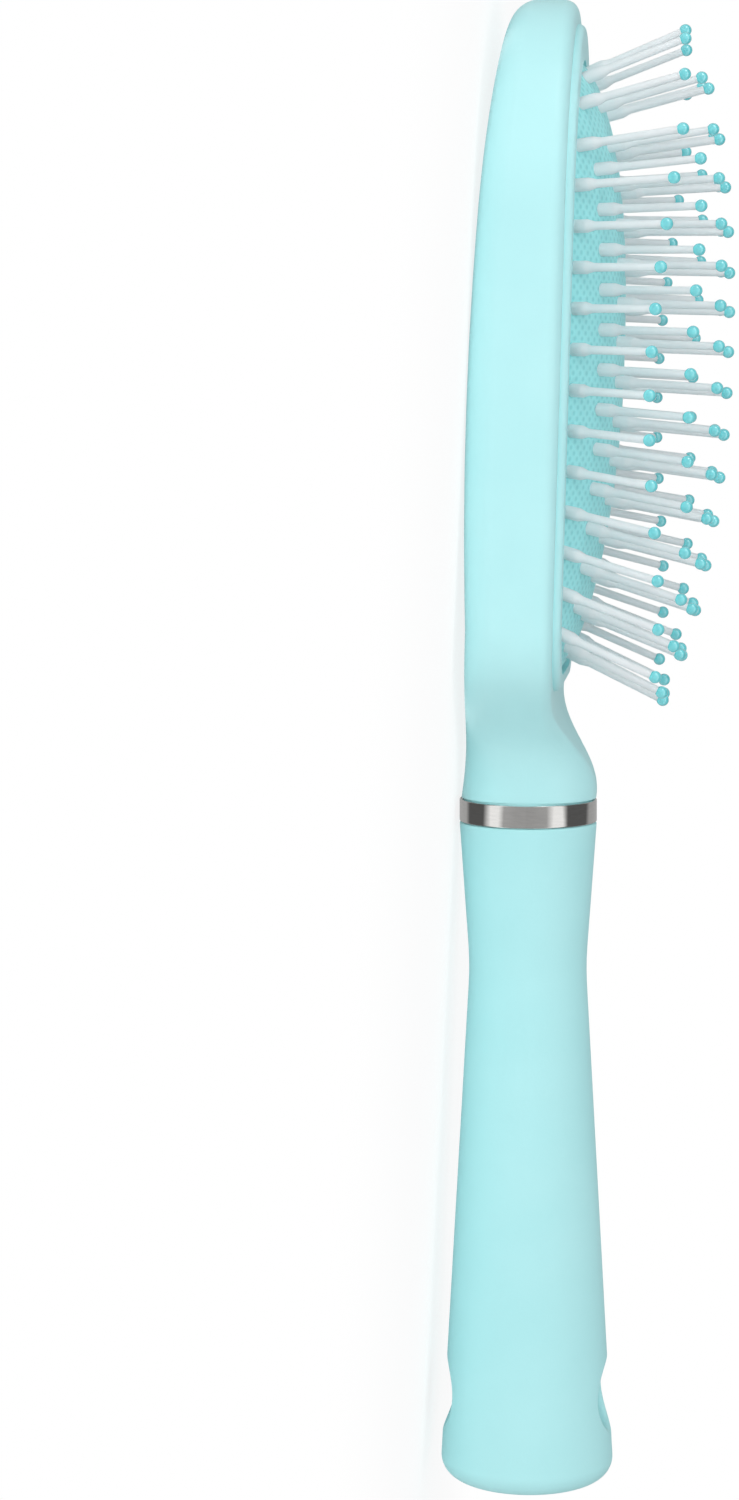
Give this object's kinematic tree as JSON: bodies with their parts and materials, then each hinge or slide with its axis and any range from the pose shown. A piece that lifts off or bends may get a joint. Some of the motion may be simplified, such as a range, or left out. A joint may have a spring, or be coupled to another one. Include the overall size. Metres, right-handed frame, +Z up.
{
  "type": "hair brush",
  "caption": "Cushion hair brush: shield-shaped paddle head, domed rubber cushion with fanned ball-tipped pins, bright metal ring at the neck, tapered handle with a hanging hole.",
  "frame": {"origin": "middle of the brush's length and width, on the flat surface it lies on", "axes": "+X from the handle to the head, +Z up along the pins, the brush lying on its back; +Y completes the frame and is across the head"},
  "size_m": [0.2378, 0.0678, 0.0404],
  "materials": {
    "head": "soft satin",
    "handle": "soft matt",
    "ring": "polished",
    "cushion": "soft, with a fine diamond grain",
    "pin": "translucent nylon",
    "tip": "glossy"
  },
  "bodies": {
    "brush_body": {"paddle_head": "head", "cushion_pad": "cushion", "ferrule_ring": "ring", "handle_grip": "handle"},
    "pin_group_a1": {"pins_a1": "pin", "tips_a1": "tip"},
    "pin_group_a2": {"pins_a2": "pin", "tips_a2": "tip"},
    "pin_group_a3": {"pins_a3": "pin", "tips_a3": "tip"},
    "pin_group_b1": {"pins_b1": "pin", "tips_b1": "tip"},
    "pin_group_b2": {"pins_b2": "pin", "tips_b2": "tip"},
    "pin_group_b3": {"pins_b3": "pin", "tips_b3": "tip"},
    "pin_group_c1": {"pins_c1": "pin", "tips_c1": "tip"},
    "pin_group_c2": {"pins_c2": "pin", "tips_c2": "tip"},
    "pin_group_c3": {"pins_c3": "pin", "tips_c3": "tip"},
    "pin_group_d1": {"pins_d1": "pin", "tips_d1": "tip"},
    "pin_group_d2": {"pins_d2": "pin", "tips_d2": "tip"},
    "pin_group_d3": {"pins_d3": "pin", "tips_d3": "tip"},
    "pin_group_e1": {"pins_e1": "pin", "tips_e1": "tip"},
    "pin_group_e2": {"pins_e2": "pin", "tips_e2": "tip"},
    "pin_group_e3": {"pins_e3": "pin", "tips_e3": "tip"},
    "pin_group_f1": {"pins_f1": "pin", "tips_f1": "tip"},
    "pin_group_f2": {"pins_f2": "pin", "tips_f2": "tip"},
    "pin_group_f3": {"pins_f3": "pin", "tips_f3": "tip"},
    "pin_group_g1": {"pins_g1": "pin", "tips_g1": "tip"},
    "pin_group_g2": {"pins_g2": "pin", "tips_g2": "tip"},
    "pin_group_g3": {"pins_g3": "pin", "tips_g3": "tip"}
  },
  "joints": [
    {"name": "press_a1", "type": "slide", "parent": "brush_body", "child": "pin_group_a1", "axis": [-0.0976, 0.3781, -0.9206], "range_m": [0, 0.003], "stiffness_N_per_m": 400, "deforming": ["cushion_pad"]},
    {"name": "press_a2", "type": "slide", "parent": "brush_body", "child": "pin_group_a2", "axis": [0.0087, 0.6528, -0.7575], "range_m": [0, 0.003], "stiffness_N_per_m": 400, "deforming": ["cushion_pad"]},
    {"name": "press_a3", "type": "slide", "parent": "brush_body", "child": "pin_group_a3", "axis": [0.2191, 0.3887, -0.8949], "range_m": [0, 0.003], "stiffness_N_per_m": 400, "deforming": ["cushion_pad"]},
    {"name": "press_b1", "type": "slide", "parent": "brush_body", "child": "pin_group_b1", "axis": [-0.1284, 0.2607, -0.9568], "range_m": [0, 0.003], "stiffness_N_per_m": 400, "deforming": ["cushion_pad"]},
    {"name": "press_b2", "type": "slide", "parent": "brush_body", "child": "pin_group_b2", "axis": [0.0191, 0.5041, -0.8634], "range_m": [0, 0.003], "stiffness_N_per_m": 400, "deforming": ["cushion_pad"]},
    {"name": "press_b3", "type": "slide", "parent": "brush_body", "child": "pin_group_b3", "axis": [0.2521, 0.2387, -0.9378], "range_m": [0, 0.003], "stiffness_N_per_m": 400, "deforming": ["cushion_pad"]},
    {"name": "press_c1", "type": "slide", "parent": "brush_body", "child": "pin_group_c1", "axis": [-0.1808, 0.1127, -0.977], "range_m": [0, 0.003], "stiffness_N_per_m": 400, "deforming": ["cushion_pad"]},
    {"name": "press_c2", "type": "slide", "parent": "brush_body", "child": "pin_group_c2", "axis": [0.0282, 0.2809, -0.9593], "range_m": [0, 0.003], "stiffness_N_per_m": 400, "deforming": ["cushion_pad"]},
    {"name": "press_c3", "type": "slide", "parent": "brush_body", "child": "pin_group_c3", "axis": [0.2714, 0.1116, -0.956], "range_m": [0, 0.003], "stiffness_N_per_m": 400, "deforming": ["cushion_pad"]},
    {"name": "press_d1", "type": "slide", "parent": "brush_body", "child": "pin_group_d1", "axis": [-0.1805, 0, -0.9836], "range_m": [0, 0.003], "stiffness_N_per_m": 400, "deforming": ["cushion_pad"]},
    {"name": "press_d2", "type": "slide", "parent": "brush_body", "child": "pin_group_d2", "axis": [0.0319, 0, -0.9995], "range_m": [0, 0.003], "stiffness_N_per_m": 400, "deforming": ["cushion_pad"]},
    {"name": "press_d3", "type": "slide", "parent": "brush_body", "child": "pin_group_d3", "axis": [0.2776, 0, -0.9607], "range_m": [0, 0.003], "stiffness_N_per_m": 400, "deforming": ["cushion_pad"]},
    {"name": "press_e1", "type": "slide", "parent": "brush_body", "child": "pin_group_e1", "axis": [-0.1808, -0.1127, -0.977], "range_m": [0, 0.003], "stiffness_N_per_m": 400, "deforming": ["cushion_pad"]},
    {"name": "press_e2", "type": "slide", "parent": "brush_body", "child": "pin_group_e2", "axis": [0.0282, -0.2809, -0.9593], "range_m": [0, 0.003], "stiffness_N_per_m": 400, "deforming": ["cushion_pad"]},
    {"name": "press_e3", "type": "slide", "parent": "brush_body", "child": "pin_group_e3", "axis": [0.2714, -0.1116, -0.956], "range_m": [0, 0.003], "stiffness_N_per_m": 400, "deforming": ["cushion_pad"]},
    {"name": "press_f1", "type": "slide", "parent": "brush_body", "child": "pin_group_f1", "axis": [-0.1284, -0.2607, -0.9568], "range_m": [0, 0.003], "stiffness_N_per_m": 400, "deforming": ["cushion_pad"]},
    {"name": "press_f2", "type": "slide", "parent": "brush_body", "child": "pin_group_f2", "axis": [0.0191, -0.5041, -0.8634], "range_m": [0, 0.003], "stiffness_N_per_m": 400, "deforming": ["cushion_pad"]},
    {"name": "press_f3", "type": "slide", "parent": "brush_body", "child": "pin_group_f3", "axis": [0.2521, -0.2387, -0.9378], "range_m": [0, 0.003], "stiffness_N_per_m": 400, "deforming": ["cushion_pad"]},
    {"name": "press_g1", "type": "slide", "parent": "brush_body", "child": "pin_group_g1", "axis": [-0.0976, -0.3781, -0.9206], "range_m": [0, 0.003], "stiffness_N_per_m": 400, "deforming": ["cushion_pad"]},
    {"name": "press_g2", "type": "slide", "parent": "brush_body", "child": "pin_group_g2", "axis": [0.0087, -0.6528, -0.7575], "range_m": [0, 0.003], "stiffness_N_per_m": 400, "deforming": ["cushion_pad"]},
    {"name": "press_g3", "type": "slide", "parent": "brush_body", "child": "pin_group_g3", "axis": [0.2191, -0.3887, -0.8949], "range_m": [0, 0.003], "stiffness_N_per_m": 400, "deforming": ["cushion_pad"]}
  ]
}
